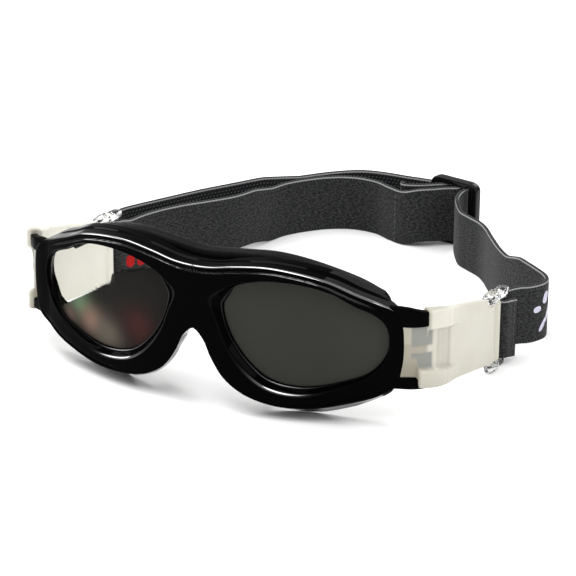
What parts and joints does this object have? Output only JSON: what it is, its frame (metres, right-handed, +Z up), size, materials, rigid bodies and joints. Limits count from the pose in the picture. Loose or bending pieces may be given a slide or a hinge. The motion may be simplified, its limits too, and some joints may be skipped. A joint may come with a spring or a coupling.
{
  "type": "sports protective goggles",
  "caption": "Wraparound sports goggles: a one-piece front with two lenses, brow cushion, nose pads, soft clip-on arms, clear strap rings and an adjustable elastic strap.",
  "frame": {"origin": "under the middle of the goggles' footprint, on the table that they stand on", "axes": "+X towards the wearer's left, +Y from the lenses back to the strap, +Z up"},
  "size_m": [0.1584, 0.1736, 0.0524],
  "materials": {
    "front_gloss": "glossy black injection-moulded plastic",
    "cushion_rubber": "satin black soft rubber",
    "lens_smoke": "dark grey tinted polycarbonate",
    "lens_clear": "clear coated polycarbonate",
    "arm_frosted": "frosted milky soft plastic",
    "ring_clear": "clear polycarbonate",
    "webbing": "charcoal woven elastic with a light edge thread",
    "thread": "dark sewing thread",
    "print_pale": "pale lavender heat-transfer film",
    "print_red": "red heat-transfer film",
    "slider_black": "glossy black plastic"
  },
  "bodies": {
    "front": {"front_frame": "front_gloss", "brow_cushion": "cushion_rubber", "lens_left": "lens_smoke", "lens_right": "lens_clear", "nose_pad_left": "cushion_rubber", "nose_pad_right": "cushion_rubber", "arm_root_left": "arm_frosted", "arm_root_right": "arm_frosted", "strap_side_left": "webbing", "strap_run_left": "webbing", "strap_back_outer": "webbing", "strap_side_outer": "webbing", "strap_side_inner": "webbing", "strap_back_inner": "webbing", "print_left": "print_pale", "print_right": "print_red"},
    "arm_left": {"arm_panel_left": "arm_frosted"},
    "arm_right": {"arm_panel_right": "arm_frosted"},
    "ring_left": {"strap_ring_left": "ring_clear", "strap_loop_left": "webbing", "seam_left": "thread"},
    "ring_right": {"strap_ring_right": "ring_clear", "strap_loop_right": "webbing"},
    "slider": {"slider": "slider_black", "strap_slider_bend": "webbing", "strap_slider_fold": "webbing", "seam_slider": "thread"}
  },
  "joints": [
    {"name": "arm_left_flex", "type": "hinge", "parent": "front", "child": "arm_left", "pos_m": [0.07127, -0.05131, 0.0225], "axis": [0, 0, 1], "range_deg": [-12, 20], "stiffness_Nm_per_rad": 0.06, "deforming": ["strap_side_left"]},
    {"name": "arm_right_flex", "type": "hinge", "parent": "front", "child": "arm_right", "pos_m": [-0.07353, -0.05131, 0.0225], "axis": [0, 0, -1], "range_deg": [-12, 20], "stiffness_Nm_per_rad": 0.06, "deforming": ["strap_side_outer", "strap_side_inner"]},
    {"name": "ring_left_swivel", "type": "hinge", "parent": "arm_left", "child": "ring_left", "pos_m": [0.07127, -0.01501, 0.014], "axis": [0, 0, 1], "range_deg": [-25, 25]},
    {"name": "ring_right_swivel", "type": "hinge", "parent": "arm_right", "child": "ring_right", "pos_m": [-0.07353, -0.01501, 0.014], "axis": [0, 0, -1], "range_deg": [-25, 25]},
    {"name": "slider_slide", "type": "slide", "parent": "front", "child": "slider", "axis": [0.9848, -0.1736, 0], "range_m": [-0.005, 0.005], "deforming": ["strap_run_left", "strap_back_outer", "strap_back_inner"]}
  ]
}
